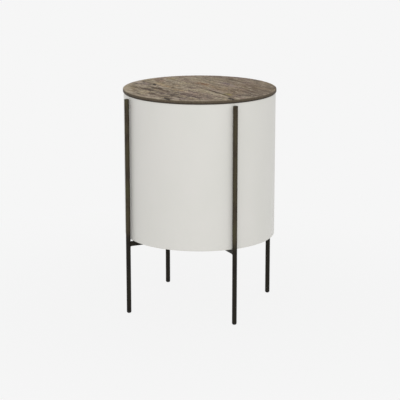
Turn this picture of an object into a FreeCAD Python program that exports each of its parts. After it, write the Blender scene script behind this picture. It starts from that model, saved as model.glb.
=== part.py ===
"""Drum side table: a plank top on a lacquered drum that stands in a welded cradle with four rod legs.

Lengths are in millimetres. The origin is on the floor under the drum's axis and +Z is up. The cradle's bars lie
along X and Y, with a leg at each end, and the planks run along Y.
"""
import FreeCAD, Part
import math
import os

Vector = FreeCAD.Vector
UP = Vector(0, 0, 1)
MIDDLE = Vector(0, 0, 0)

# Overall sizes
overall_height = 610.0
drum_diameter = 412.0
top_overhang = 2.0  # how far the planks reach past the drum
drum_clearance = 207.0  # floor to the drum's lower edge

# Plank top: tongued and grooved planks, cut to one disc
top_thickness = 10.0
rim_round = 2.0  # of the top's upper edge
rim_ease = 2.5  # chamfer on the top's lower edge
seam_shares = (-0.7, -0.46, 0.03, 0.5)  # places of the plank joints, in radii of the top from its middle
seam_ease = 0.5  # chamfer on the planks' upper edges along a joint
tongue_thickness = 3.0
tongue_length = 4.0
tongue_clearance = 0.1

# Drum: a bent shell, closed by a panel at each end
shell_wall = 10.0
shell_edge_round = 1.0
top_panel_thickness = 18.0
bottom_panel_thickness = 18.0
ring_width = 22.0  # of the ring that is glued inside the shell, above the bottom panel
ring_height = 22.0
glue_gap = 0.1

# Cradle: rod legs welded to two bars that are lapped where they cross
leg_diameter = 12.7
leg_gap = 2.5  # between a leg and the drum
leg_drop = 5.5  # from the planks' underside down to a leg's upper end
leg_end_round = 1.0
bar_width = 10.0
bar_height = 12.0
bar_step = 5.0  # how far the left-right bar lies below the front-back one
bar_edge_round = 0.8
lap_clearance = 0.1

# Glides: pressed into a socket in the foot of each leg
glide_height = 6.5
glide_foot_round = 4.5
glide_stem_diameter = 6.0
glide_stem_length = 14.0
glide_stem_round = 1.0
glide_clearance = 0.05
glide_socket_gap = 2.0  # between the stem's end and the bottom of its socket

# Bumpers: soft pads between the legs' upper ends and the drum
bumper_diameter = 5.0
bumper_drop = 24.0  # from a leg's upper end down to the middle of its bumper

# Bolts, washers, spacers and threaded inserts that hold the cradle to the bottom panel
bolt_circle_diameter = 240.0
bolt_diameter = 5.0
bolt_hole_clearance = 0.25
bolt_head_diameter = 9.5
bolt_head_height = 2.8
bolt_head_round = 2.2
bolt_tip_gap = 1.0  # from a bolt's tip to its insert's upper end
washer_diameter = 10.0
washer_thickness = 1.0
spacer_diameter = 10.0
insert_diameter = 8.0
insert_length = 13.0
insert_clearance = 0.05

# Countersunk wood screws, alike but for their length
screw_diameter = 4.0
screw_head_diameter = 8.0
screw_head_height = 2.4
screw_point_length = 3.0
screw_clearance = 0.05
top_screw_cover = 3.5  # wood left above the point of a top screw
top_screw_margin = 16.0  # kept between the outermost top screws and the edge of their panel
top_screw_spread_share = 0.7  # of half the length that a plank has for screws
panel_screw_bite = 14.0  # length of a panel screw inside the ring
panel_screw_count = 8

overrun = 5.0  # how far a cutting shape runs past what it cuts

# Places that follow from the sizes above
drum_radius = drum_diameter / 2
top_radius = drum_radius + top_overhang
leg_radius = leg_diameter / 2
seams = [share * top_radius for share in seam_shares]
plank_bottom = overall_height - top_thickness
top_panel_bottom = plank_bottom - top_panel_thickness
inner_radius = drum_radius - shell_wall
panel_radius = inner_radius - glue_gap
ring_bottom = drum_clearance + bottom_panel_thickness
leg_circle_radius = drum_radius + leg_gap + leg_radius
leg_top = plank_bottom - leg_drop
low_bar_top = drum_clearance - bar_step
high_bar_bottom = drum_clearance - bar_height
lap_height = (low_bar_top + high_bar_bottom) / 2
bolt_circle_radius = bolt_circle_diameter / 2
top_screw_length = top_panel_thickness + top_thickness - top_screw_cover
panel_screw_length = bottom_panel_thickness + panel_screw_bite
leg_bearings = {"right": 0, "back": 90, "left": 180, "front": 270}  # degrees from +X


def outline_face(corners):
    """A face in the XZ plane inside straight runs, whose corners are given as (x, z, rounding)."""
    points = [Vector(x, 0, z) for x, z, rounding in corners]
    edges = []
    bends = []
    for index, (x, z, rounding) in enumerate(corners):
        corner = points[index]
        back = (points[index - 1] - corner).normalize()
        ahead = (points[(index + 1) % len(points)] - corner).normalize()
        half_angle = back.getAngle(ahead) / 2
        reach = rounding / math.tan(half_angle)
        start = corner + back * reach
        end = corner + ahead * reach
        bends.append((start, end))
        if rounding:
            inward = (back + ahead).normalize()
            middle = corner + inward * (rounding / math.sin(half_angle) - rounding)
            edges.append(Part.Arc(start, middle, end).toShape())
    for index, (start, end) in enumerate(bends):
        edges.append(Part.makeLine(bends[index - 1][1], start))
    return Part.Face(Part.Wire(Part.__sortEdges__(edges)))


def turned(corners):
    """A solid turned about Z, from an outline of (radius, height, rounding) corners."""
    return outline_face(corners).revolve(MIDDLE, UP, 360)


def tube(outer_radius, inner_radius, bottom, top, rounding=0):
    """An upright ring on the table's axis, whose outer edges may be rounded."""
    return turned([
        (inner_radius, bottom, 0),
        (outer_radius, bottom, rounding),
        (outer_radius, top, rounding),
        (inner_radius, top, 0),
    ])


def post(radius, bottom, top, x=0, y=0):
    """An upright cylinder between two heights."""
    return Part.makeCylinder(radius, top - bottom, Vector(x, y, bottom), UP)


def around(shape, bearing):
    """The shape turned about the table's axis, by degrees."""
    return shape.rotated(MIDDLE, UP, bearing)


def ring_of(shape, bearings):
    """Separate copies of a shape, one at each bearing about the table's axis."""
    return [around(shape, bearing) for bearing in bearings]


def cut_all(shape, tools):
    """The shape with every tool cut away."""
    for tool in tools:
        shape = shape.cut(tool)
    return shape


# Wood screws

def screw(length):
    """A countersunk screw that points up, with the flat of its head at height zero."""
    return turned([
        (0, 0, 0),
        (screw_head_diameter / 2, 0, 0),
        (screw_diameter / 2, screw_head_height, 0),
        (screw_diameter / 2, length - screw_point_length, 0),
        (0, length, 0),
    ])


def screw_hole(length):
    """What is cut away for such a screw, open below its head."""
    head_radius = screw_head_diameter / 2 + screw_clearance
    shank_radius = screw_diameter / 2 + screw_clearance
    return turned([
        (0, -overrun, 0),
        (head_radius, -overrun, 0),
        (head_radius, 0, 0),
        (shank_radius, screw_head_height, 0),
        (shank_radius, length, 0),
        (0, length, 0),
    ])


def top_screw_places():
    """Feet of the screws under the planks, two to a plank."""
    reach = panel_radius - top_screw_margin
    edges = [-reach] + seams + [reach]
    places = []
    for left, right in zip(edges, edges[1:]):
        x = (left + right) / 2
        y = top_screw_spread_share * math.sqrt(reach**2 - x**2)
        places += [Vector(x, -y, top_panel_bottom), Vector(x, y, top_panel_bottom)]
    return places


panel_screw_place = Vector(panel_radius - ring_width / 2, 0, drum_clearance)
panel_screw_step = 360 / panel_screw_count
panel_screw_bearings = [panel_screw_step * (index + 1 / 2) for index in range(panel_screw_count)]
top_screws = [screw(top_screw_length).translated(place) for place in top_screw_places()]
top_screw_holes = [screw_hole(top_screw_length).translated(place) for place in top_screw_places()]
panel_screws = ring_of(screw(panel_screw_length).translated(panel_screw_place), panel_screw_bearings)
panel_screw_holes = ring_of(screw_hole(panel_screw_length).translated(panel_screw_place), panel_screw_bearings)


# Plank top

def plank(left, right, grooved, tongued):
    """A plank between two joints, with a groove on its left and a tongue on its right, cut to the round top."""
    tongue_low = plank_bottom + (top_thickness - tongue_thickness) / 2
    tongue_high = tongue_low + tongue_thickness
    tongue_tip = right + tongue_length
    groove_low = tongue_low - tongue_clearance
    groove_high = tongue_high + tongue_clearance
    groove_root = left + tongue_length + tongue_clearance
    corners = [(left, plank_bottom), (right, plank_bottom)]
    if tongued:
        corners += [(right, tongue_low), (tongue_tip, tongue_low), (tongue_tip, tongue_high), (right, tongue_high)]
        corners += [(right, overall_height - seam_ease), (right - seam_ease, overall_height)]
    else:
        corners += [(right, overall_height)]
    if grooved:
        corners += [(left + seam_ease, overall_height), (left, overall_height - seam_ease)]
        corners += [(left, groove_high), (groove_root, groove_high), (groove_root, groove_low), (left, groove_low)]
    else:
        corners += [(left, overall_height)]
    section = outline_face([(x, z, 0) for x, z in corners])
    strip = section.extrude(Vector(0, 2 * top_radius, 0)).translated(Vector(0, -top_radius, 0))
    disc = turned([
        (0, plank_bottom, 0),
        (top_radius - rim_ease, plank_bottom, 0),
        (top_radius, plank_bottom + rim_ease, 0),
        (top_radius, overall_height, rim_round),
        (0, overall_height, 0),
    ])
    return cut_all(disc.common(strip), top_screw_holes)


def planks():
    """All the planks, from left to right."""
    edges = [-top_radius - overrun] + seams + [top_radius + overrun]
    last = len(edges) - 2
    return [plank(edges[i], edges[i + 1], grooved=i > 0, tongued=i < last) for i in range(last + 1)]


# Drum

def drum_shell():
    """The bent wall, flush with the panels above and below."""
    return tube(drum_radius, inner_radius, drum_clearance, plank_bottom, shell_edge_round)


def drum_top_panel():
    """The panel under the planks, drilled for their screws."""
    return cut_all(post(panel_radius, top_panel_bottom, plank_bottom), top_screw_holes)


def drum_bottom_panel():
    """The panel on the cradle, drilled for its inserts and for the screws into the ring."""
    panel = cut_all(post(panel_radius, drum_clearance, ring_bottom), panel_screw_holes)
    hole_radius = insert_diameter / 2 + insert_clearance
    hole = post(hole_radius, drum_clearance - overrun, drum_clearance + insert_length, bolt_circle_radius)
    return cut_all(panel, ring_of(hole, leg_bearings.values()))


def drum_lower_ring():
    """The ring that the bottom panel is screwed to."""
    ring = tube(panel_radius, panel_radius - ring_width, ring_bottom, ring_bottom + ring_height)
    return cut_all(ring, panel_screw_holes)


# Cradle

def leg():
    """A rod with a rounded upper end and a socket for its glide."""
    socket_radius = glide_stem_diameter / 2 + glide_clearance
    socket_top = glide_height + glide_stem_length + glide_socket_gap
    rod = turned([
        (0, socket_top, 0),
        (socket_radius, socket_top, 0),
        (socket_radius, glide_height, 0),
        (leg_radius, glide_height, 0),
        (leg_radius, leg_top, leg_end_round),
        (0, leg_top, 0),
    ])
    return rod.translated(Vector(leg_circle_radius, 0, 0))


def cross_bar(top, notch_bottom, notch_top):
    """A bar along X, coped to the leg at each end, drilled for its bolts and notched for the other bar."""
    bottom = top - bar_height
    section = outline_face([
        (-bar_width / 2, bottom, bar_edge_round),
        (bar_width / 2, bottom, bar_edge_round),
        (bar_width / 2, top, bar_edge_round),
        (-bar_width / 2, top, bar_edge_round),
    ])
    bar = section.extrude(Vector(0, 2 * leg_circle_radius, 0)).translated(Vector(0, -leg_circle_radius, 0))
    bar = around(bar, leg_bearings["back"])
    hole_radius = bolt_diameter / 2 + bolt_hole_clearance
    for bearing in (leg_bearings["right"], leg_bearings["left"]):
        bar = bar.cut(around(post(leg_radius, 0, plank_bottom, leg_circle_radius), bearing))
        bar = bar.cut(around(post(hole_radius, 0, plank_bottom, bolt_circle_radius), bearing))
    notch_length = bar_width + 2 * lap_clearance
    notch_corner = Vector(-notch_length / 2, -notch_length / 2, notch_bottom)
    return bar.cut(Part.makeBox(notch_length, notch_length, notch_top - notch_bottom, notch_corner))


def glide():
    """A foot with a rounded edge and a stem that fills the leg's socket."""
    stem_radius = glide_stem_diameter / 2
    foot = turned([
        (0, 0, 0),
        (leg_radius, 0, glide_foot_round),
        (leg_radius, glide_height, 0),
        (stem_radius, glide_height, 0),
        (stem_radius, glide_height + glide_stem_length, glide_stem_round),
        (0, glide_height + glide_stem_length, 0),
    ])
    return foot.translated(Vector(leg_circle_radius, 0, 0))


def bumper():
    """A pad between the drum and a leg, hollowed to fit both."""
    start = Vector(drum_radius - overrun, 0, leg_top - bumper_drop)
    length = leg_circle_radius - start.x
    pad = Part.makeCylinder(bumper_diameter / 2, length, start, Vector(1, 0, 0))
    pad = pad.cut(post(leg_radius, 0, leg_top, leg_circle_radius))
    return pad.cut(post(drum_radius, 0, plank_bottom))


# Bolts that hold the drum to the cradle

low_bar_bearings = (leg_bearings["right"], leg_bearings["left"])
high_bar_bearings = (leg_bearings["back"], leg_bearings["front"])


def under_both_bars(shape):
    """Copies of a fastener at both ends of the front-back bar, and a step lower at those of the other bar."""
    lowered = shape.translated(Vector(0, 0, -bar_step))
    return ring_of(shape, high_bar_bearings) + ring_of(lowered, low_bar_bearings)


def frame_bolt():
    """A domed bolt, from below its washer up into its insert."""
    seat = high_bar_bottom - washer_thickness
    tip = drum_clearance + insert_length - bolt_tip_gap
    bolt = turned([
        (0, seat - bolt_head_height, 0),
        (bolt_head_diameter / 2, seat - bolt_head_height, bolt_head_round),
        (bolt_head_diameter / 2, seat, 0),
        (bolt_diameter / 2, seat, 0),
        (bolt_diameter / 2, tip, 0),
        (0, tip, 0),
    ])
    return bolt.translated(Vector(bolt_circle_radius, 0, 0))


def frame_washer():
    """A flat washer under the bar."""
    hole_radius = bolt_diameter / 2 + bolt_hole_clearance
    washer = tube(washer_diameter / 2, hole_radius, high_bar_bottom - washer_thickness, high_bar_bottom)
    return washer.translated(Vector(bolt_circle_radius, 0, 0))


def bar_spacer():
    """A sleeve round a bolt, between the left-right bar and the bottom panel."""
    hole_radius = bolt_diameter / 2 + bolt_hole_clearance
    sleeve = tube(spacer_diameter / 2, hole_radius, low_bar_top, drum_clearance)
    return sleeve.translated(Vector(bolt_circle_radius, 0, 0))


def threaded_insert():
    """A sleeve in the bottom panel that takes a bolt."""
    bore_radius = bolt_diameter / 2 + insert_clearance
    sleeve = tube(insert_diameter / 2, bore_radius, drum_clearance, drum_clearance + insert_length)
    return sleeve.translated(Vector(bolt_circle_radius, 0, 0))


# Every piece under its own name

nodes = {
    "drum_shell": drum_shell(),
    "drum_top_panel": drum_top_panel(),
    "drum_bottom_panel": drum_bottom_panel(),
    "drum_lower_ring": drum_lower_ring(),
    "cross_bar_left_right": cross_bar(low_bar_top, lap_height, drum_clearance),
    "cross_bar_front_back": around(cross_bar(drum_clearance, 0, lap_height), leg_bearings["back"]),
    "leg_bumpers": Part.makeCompound(ring_of(bumper(), leg_bearings.values())),
    "frame_bolts": Part.makeCompound(under_both_bars(frame_bolt())),
    "frame_washers": Part.makeCompound(under_both_bars(frame_washer())),
    "bar_spacers": Part.makeCompound(ring_of(bar_spacer(), low_bar_bearings)),
    "threaded_inserts": Part.makeCompound(ring_of(threaded_insert(), leg_bearings.values())),
    "panel_screws": Part.makeCompound(panel_screws),
    "top_screws": Part.makeCompound(top_screws),
}
for number, shape in enumerate(planks(), start=1):
    nodes[f"top_plank_{number}"] = shape
for side, bearing in leg_bearings.items():
    nodes[f"leg_{side}"] = around(leg(), bearing)
    nodes[f"glide_{side}"] = around(glide(), bearing)

os.makedirs("parts", exist_ok=True)
for name, shape in nodes.items():
    shape.exportStep(f"parts/{name}.step")
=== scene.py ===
"""Drum side table: a weathered plank top on an off-white drum, in a bronzed cradle with four rod legs.

Lengths are in metres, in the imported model's frame: the floor is z = 0, the drum's axis is Z and the planks
run along Y.
"""
import math

import bmesh
import bpy
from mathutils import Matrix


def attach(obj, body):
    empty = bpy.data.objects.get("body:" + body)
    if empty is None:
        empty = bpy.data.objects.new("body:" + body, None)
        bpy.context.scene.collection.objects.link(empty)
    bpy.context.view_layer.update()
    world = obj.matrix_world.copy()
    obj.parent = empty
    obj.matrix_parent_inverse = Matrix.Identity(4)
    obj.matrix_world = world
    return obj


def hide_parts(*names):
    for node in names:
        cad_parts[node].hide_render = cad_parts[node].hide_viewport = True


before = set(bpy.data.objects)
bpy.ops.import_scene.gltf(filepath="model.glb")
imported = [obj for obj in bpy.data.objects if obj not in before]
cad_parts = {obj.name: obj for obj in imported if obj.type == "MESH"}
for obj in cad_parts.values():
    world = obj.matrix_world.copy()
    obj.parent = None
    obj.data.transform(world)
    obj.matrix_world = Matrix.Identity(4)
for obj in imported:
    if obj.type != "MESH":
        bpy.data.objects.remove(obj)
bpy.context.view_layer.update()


# Legs: four straight rods of round steel, each with a slightly rounded upper end. They stand just outside the
# drum, free at the top and welded to the cross bars below it. Their dark bronze finish clouds from brown to
# olive; from the welds down, painted shade darkens it almost to black under the drum.

leg_sides = ("right", "back", "left", "front")
rubbed_width = 0.0012
# Painted shade: between these heights the bronze darkens towards near black under the drum.
under_drum_shade_from = 0.236
under_drum_shade_below = 0.200
under_drum_shade_share = 0.80


class Workbench:
    """A node tree in the making, with one short call for each kind of node."""

    def __init__(self, tree):
        self.tree = tree

    def feed(self, socket, value):
        """Links an input to another node's output, or gives it a fixed value."""
        if isinstance(value, bpy.types.NodeSocket):
            self.tree.links.new(value, socket)
        else:
            socket.default_value = value

    def add(self, kind, inputs=None, **settings):
        """A node of that kind, with its settings and its inputs by name or number."""
        node = self.tree.nodes.new(kind)
        for name, value in settings.items():
            setattr(node, name, value)
        for key, value in (inputs or {}).items():
            self.feed(node.inputs[key], value)
        return node

    def get(self, kind, inputs=None, **settings):
        """The first output of such a node."""
        return self.add(kind, inputs, **settings).outputs[0]

    def math(self, operation, *values):
        return self.get("ShaderNodeMath", dict(enumerate(values)), operation=operation)

    def plus(self, first, second):
        return self.math("ADD", first, second)

    def minus(self, first, second):
        return self.math("SUBTRACT", first, second)

    def times(self, first, second):
        return self.math("MULTIPLY", first, second)

    def vector(self, operation, *values):
        return self.get("ShaderNodeVectorMath", dict(enumerate(values)), operation=operation)

    def measure(self, operation, *vectors):
        """A number taken from vectors, such as their LENGTH or DOT_PRODUCT."""
        node = self.add("ShaderNodeVectorMath", dict(enumerate(vectors)), operation=operation)
        return node.outputs["Value"]

    def flat(self, vector):
        """A vector without its Z."""
        return self.vector("MULTIPLY", vector, (1, 1, 0))

    def upright(self, value):
        """A vector along Z."""
        return self.get("ShaderNodeCombineXYZ", {"Z": value})

    def parts(self, vector):
        """The X, Y and Z of a vector."""
        return self.add("ShaderNodeSeparateXYZ", {0: vector}).outputs

    def turned(self, vector, degrees):
        """A vector turned about Z, to the left for more than 0 degrees."""
        inputs = {"Vector": vector, "Angle": math.radians(degrees)}
        return self.get("ShaderNodeVectorRotate", inputs, rotation_type="Z_AXIS")

    def span(self, value, low, high, start=0.0, end=1.0, smooth=False):
        """What lies between low and high, spread from start to end and held there outside them."""
        kind = "SMOOTHSTEP" if smooth else "LINEAR"
        sizes = {"Value": value, "From Min": low, "From Max": high, "To Min": start, "To Max": end}
        return self.add("ShaderNodeMapRange", sizes, interpolation_type=kind).outputs["Result"]

    def noise(self, place, size, along=(1, 1, 1), detail=4.0, roughness=0.55, twist=0.0, start=0.0):
        """Cloudy values of 0 to 1 whose patches are about size wide, drawn out along X, Y and Z."""
        scale = [1 / (size * stretch) for stretch in along]
        start_point = (start, 1.7 * start, 0.6 * start)
        point = self.vector("MULTIPLY_ADD", place, scale, start_point)
        cloud = {"Vector": point, "Scale": 1.0, "Detail": detail, "Roughness": roughness, "Distortion": twist}
        return self.get("ShaderNodeTexNoise", cloud)


def tone(red, green, blue):
    """A colour from its display values of 0 to 255."""
    shares = [value / 255 for value in (red, green, blue)]
    linear = [s / 12.92 if s <= 0.04045 else ((s + 0.055) / 1.055) ** 2.4 for s in shares]
    return (*linear, 1.0)


class Finish(Workbench):
    """A surface finish in the making: a material that reads the piece's own coordinates."""

    def __init__(self, name, constants):
        self.material = bpy.data.materials.new(name)
        self.material.use_nodes = True
        super().__init__(self.material.node_tree)
        self.shader = self.tree.nodes["Principled BSDF"]
        for socket, value in constants.items():
            self.shader.inputs[socket].default_value = value
        self.place = self.add("ShaderNodeTexCoord").outputs["Object"]

    def height(self):
        """How high a point lies above the floor."""
        return self.parts(self.place)[2]

    def normal(self):
        """Which way the surface faces."""
        return self.add("ShaderNodeNewGeometry").outputs["Normal"]

    def ramp(self, value, *stops):
        """A colour from (value, colour) stops."""
        node = self.add("ShaderNodeValToRGB", {"Fac": value})
        while len(node.color_ramp.elements) < len(stops):
            node.color_ramp.elements.new(1.0)
        for element, (position, colour) in zip(node.color_ramp.elements, stops):
            element.position = position
            element.color = colour
        return node.outputs["Color"]

    def blend(self, share, under, over, way="MIX"):
        """One colour laid over another."""
        inputs = {0: share, 6: under, 7: over}
        return self.add("ShaderNodeMix", inputs, data_type="RGBA", blend_type=way).outputs[2]

    def coat(self, under, over, value, low, high, strength=1.0):
        """One colour laid over another, from none at a value of low to its full strength at high."""
        return self.blend(self.span(value, low, high, 0.0, strength), under, over)

    def lay(self, colour, roughness, height, depth):
        """Feeds the shader; height is 0 to 1 of a relief that is depth high."""
        bump = self.add("ShaderNodeBump", {"Height": height, "Distance": depth})
        self.feed(self.shader.inputs["Base Color"], colour)
        self.feed(self.shader.inputs["Roughness"], roughness)
        self.feed(self.shader.inputs["Normal"], bump.outputs["Normal"])
        return self.material


def dress(finish, *nodes):
    """Gives CAD solids their finish."""
    for node in nodes:
        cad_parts[node].data.materials[0] = finish


def bronze_finish():
    """Dark bronze: clouds of brown and olive, rubbed lighter on the edges, with painted shade lower down."""
    bronze = Finish("dark_bronze", {"Metallic": 0.35, "Specular IOR Level": 0.12})
    clouds = bronze.noise(bronze.place, 0.014, (1, 1, 3), detail=5, roughness=0.6)
    flecks = bronze.noise(bronze.place, 0.0016, (1, 1, 2.5), detail=3, start=4.0)
    colour = bronze.ramp(clouds, (0.34, tone(58, 50, 42)), (0.5, tone(72, 65, 51)), (0.66, tone(74, 70, 50)))
    colour = bronze.coat(colour, tone(34, 29, 26), flecks, 0.5, 0.72, 0.5)
    soft_edge = bronze.get("ShaderNodeBevel", {"Radius": rubbed_width}, samples=4)
    turn = bronze.measure("DOT_PRODUCT", soft_edge, bronze.normal())
    rubbed = bronze.times(bronze.span(turn, 0.995, 0.9), bronze.span(clouds, 0.4, 0.6, 0.2, 0.8))
    colour = bronze.blend(rubbed, colour, tone(112, 92, 70))
    # Painted shade: near black lower down, under the drum.
    under_drum_shade = bronze.span(bronze.height(), under_drum_shade_from, under_drum_shade_below, 0.0, under_drum_shade_share, smooth=True)
    colour = bronze.blend(under_drum_shade, colour, tone(25, 24, 22))
    roughness = bronze.span(clouds, 0.3, 0.7, 0.5, 0.38)
    return bronze.lay(colour, roughness, bronze.plus(flecks, clouds), depth=0.00012)


dark_bronze = bronze_finish()
dress(dark_bronze, *(f"leg_{side}" for side in leg_sides))


# Cross bars: two flat bars, lapped where they cross, the left-right one a step lower, and coped at their ends
# to the round of the legs. They are of the same steel as the legs and finished with them.

dress(dark_bronze, "cross_bar_left_right", "cross_bar_front_back")


# Weld beads: where each bar meets its leg, a rippled bead of weld metal runs down one side of the bar, under
# it and up its other side. The beads are finished with the cradle.

leg_circle = 0.21485
leg_radius = 0.00635
bar_half_width = 0.005
bar_top = 0.207
bar_bottom = 0.195
bar_step = 0.005
bead_radius = 0.0013
bead_ripple = 0.00025
bead_ripple_pitch = 0.0012
bead_step = 0.0003
bead_sides = 10
bead_corner_steps = 4
bead_under_steps = 12


class Recipe(Workbench):
    """A geometry tree in the making, with named inputs for its sizes and its finish."""

    def __init__(self, name, finish):
        super().__init__(bpy.data.node_groups.new(name, "GeometryNodeTree"))
        for way in ("INPUT", "OUTPUT"):
            self.tree.interface.new_socket("Geometry", in_out=way, socket_type="NodeSocketGeometry")
        self.start = self.tree.nodes.new("NodeGroupInput")
        self.end = self.tree.nodes.new("NodeGroupOutput")
        self.values = {}
        self.finish = finish

    def ask(self, name, value):
        """A named input, whose value is kept for the modifier."""
        kinds = {bpy.types.Material: "Material", bpy.types.Object: "Object", int: "Int", float: "Float"}
        kind = next(kind for owner, kind in kinds.items() if isinstance(value, owner))
        socket = self.tree.interface.new_socket(name, in_out="INPUT", socket_type=f"NodeSocket{kind}")
        self.values[socket.identifier] = value
        return self.start.outputs[name]

    def swept(self, line, sides, radius):
        """A bar of that many sides along a line, with its radius at each point."""
        ring = self.get("GeometryNodeCurvePrimitiveCircle", {"Resolution": sides, "Radius": 1.0})
        sweep = {"Curve": line, "Profile Curve": ring, "Scale": radius, "Fill Caps": True}
        return self.get("GeometryNodeCurveToMesh", sweep)

    def lifted(self, geometry, height):
        return self.get("GeometryNodeTransform", {"Geometry": geometry, "Translation": self.upright(height)})

    def repeated(self, piece, spots, turn):
        """A piece set at every spot, each with a turn of its own."""
        row = {"Points": spots, "Instance": piece, "Rotation": turn}
        return self.get("GeometryNodeInstanceOnPoints", row)

    def close(self, geometry):
        """Ends the tree: real faces, in the finish."""
        whole = self.get("GeometryNodeRealizeInstances", {0: geometry})
        coat = self.ask("Finish", self.finish)
        dressed = self.get("GeometryNodeSetMaterial", {"Geometry": whole, "Material": coat})
        self.feed(self.end.inputs[0], dressed)
        return self


def put_in_scene(name, data):
    """A piece at the origin, with its place in its mesh, or a lamp or camera that is then placed."""
    piece = bpy.data.objects.new(name, data)
    bpy.context.scene.collection.objects.link(piece)
    return piece


def made_by(recipe, name, mesh=None):
    """The plain mesh piece that a recipe makes, out of a mesh where it needs one."""
    blank = put_in_scene(name + "_blank", mesh or bpy.data.meshes.new(name + "_blank"))
    modifier = blank.modifiers.new("recipe", "NODES")
    modifier.node_group = recipe.tree
    for identifier, value in recipe.values.items():
        modifier[identifier] = value
    weighted = blank.modifiers.new("even_shading", "WEIGHTED_NORMAL")
    weighted.keep_sharp = True
    state = bpy.context.evaluated_depsgraph_get()
    ready = blank.evaluated_get(state)
    made = bpy.data.meshes.new_from_object(ready, preserve_all_data_layers=True, depsgraph=state)
    made.name = name
    made.materials.clear()
    made.materials.append(recipe.finish)
    made.polygons.foreach_set("material_index", [0] * len(made.polygons))
    blank.modifiers.clear()
    bpy.data.objects.remove(blank)
    return put_in_scene(name, made)


def settle(piece, slot, *nodes):
    """The piece rides with the table and stands for its CAD nodes, which are hidden; slot is not used."""
    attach(piece, "root")
    if nodes:
        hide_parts(*nodes)


def line_mesh(name, points):
    """Points joined one after the other."""
    mesh = bpy.data.meshes.new(name)
    mesh.from_pydata(points, [(index, index + 1) for index in range(len(points) - 1)], [])
    return mesh


def bead_path():
    """The line where a bar along X at the upper level meets its leg: down, under and up again."""
    corner_x = leg_circle - math.sqrt(leg_radius**2 - bar_half_width**2)
    upper_end = bar_top - bead_radius
    points = [(corner_x, -bar_half_width, upper_end)]
    for step in range(bead_under_steps + 1):
        y = bar_half_width * (2 * step / bead_under_steps - 1)
        points.append((leg_circle - math.sqrt(leg_radius**2 - y**2), y, bar_bottom))
    points.append((corner_x, bar_half_width, upper_end))
    return line_mesh("bead_path", points)


def weld_bead_recipe():
    """One bead along its path, then one at each leg, those of the left-right bar a step lower."""
    recipe = Recipe("weld_bead", dark_bronze)
    radius = recipe.ask("Bead radius", bead_radius)
    ripple = recipe.ask("Ripple height", bead_ripple)
    pitch = recipe.ask("Ripple pitch", bead_ripple_pitch)
    count = recipe.ask("Legs", len(leg_sides))
    step = recipe.ask("Bar step", bar_step)
    line = recipe.get("GeometryNodeMeshToCurve", {0: recipe.start.outputs[0]})
    corners = {0: line, "Radius": radius, "Count": bead_corner_steps}
    line = recipe.get("GeometryNodeFilletCurve", corners, mode="POLY")
    line = recipe.get("GeometryNodeResampleCurve", {0: line, "Length": bead_step}, mode="LENGTH")
    run = recipe.add("GeometryNodeSplineParameter").outputs["Length"]
    wave = recipe.math("SINE", recipe.times(recipe.math("DIVIDE", run, pitch), math.tau))
    bead = recipe.swept(line, bead_sides, recipe.plus(recipe.times(wave, ripple), radius))
    number = recipe.get("GeometryNodeInputIndex")
    lower = recipe.times(recipe.minus(recipe.math("MODULO", number, 2), 1.0), step)
    spots = recipe.get("GeometryNodeMeshLine", {"Count": count, "Offset": (0, 0, 0)})
    spots = recipe.get("GeometryNodeSetPosition", {0: spots, "Offset": recipe.upright(lower)})
    bearing = recipe.upright(recipe.times(number, math.tau / len(leg_sides)))
    return recipe.close(recipe.repeated(bead, spots, bearing))


weld_beads = made_by(weld_bead_recipe(), "weld_beads", bead_path())
settle(weld_beads, "bronzed_steel")


# Glides: small moulded feet of black nylon, with a stem pressed into the lower end of each leg.
# They are scuffed where they meet the floor.

scuffed_below = 0.003


def nylon_finish():
    nylon = Finish("black_nylon", {"Specular IOR Level": 0.2})
    grain = nylon.noise(nylon.place, 0.0007, detail=3)
    scuffs = nylon.noise(nylon.place, 0.004, (1, 1, 0.4), detail=5, roughness=0.65, start=2.0)
    low = nylon.span(nylon.height(), scuffed_below, 0.0)
    colour = nylon.coat(tone(22, 21, 20), tone(30, 29, 27), scuffs, 0.3, 0.7)
    colour = nylon.blend(nylon.times(low, nylon.span(scuffs, 0.45, 0.65)), colour, tone(44, 42, 39))
    return nylon.lay(colour, nylon.span(scuffs, 0.3, 0.7, 0.45, 0.65), grain, depth=0.00005)


dress(nylon_finish(), *(f"glide_{side}" for side in leg_sides))


# Bumpers: small pads of soft milky silicone, glued to the upper ends of the legs on the side of the drum.
# Their grey is painted shade, as dark as the gap beside them, with flecks of dust. They keep the rods off the
# lacquer and hardly show.

def silicone_finish():
    silicone = Finish("milky_silicone", {"Subsurface Weight": 0.3, "Subsurface Scale": 0.002})
    haze = silicone.noise(silicone.place, 0.0015, detail=3)
    dust = silicone.noise(silicone.place, 0.0006, detail=2, start=3.0)
    # Painted shade: the silicone is toned as dark as the shaded gap between leg and drum.
    colour = silicone.coat(tone(176, 174, 168), tone(186, 184, 178), haze, 0.3, 0.7)
    colour = silicone.coat(colour, tone(150, 146, 139), dust, 0.6, 0.8, 0.4)
    return silicone.lay(colour, silicone.span(haze, 0.3, 0.7, 0.45, 0.6), dust, depth=0.00003)


dress(silicone_finish(), "leg_bumpers")


# Drum wall: one bent shell with its edges slightly rounded, sprayed all over in satin off-white lacquer.
# The spray leaves a faint orange peel, the colour yellows a trifle in soft clouds, and the edges are duller.

drum_radius = 0.206
shell_wall = 0.010
shell_bottom = 0.207
shell_top = 0.600
shell_edge_round = 0.001
shell_segments = 288
shell_edge_steps = 5
dull_edge = 0.0035
dull_share = 0.35


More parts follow.
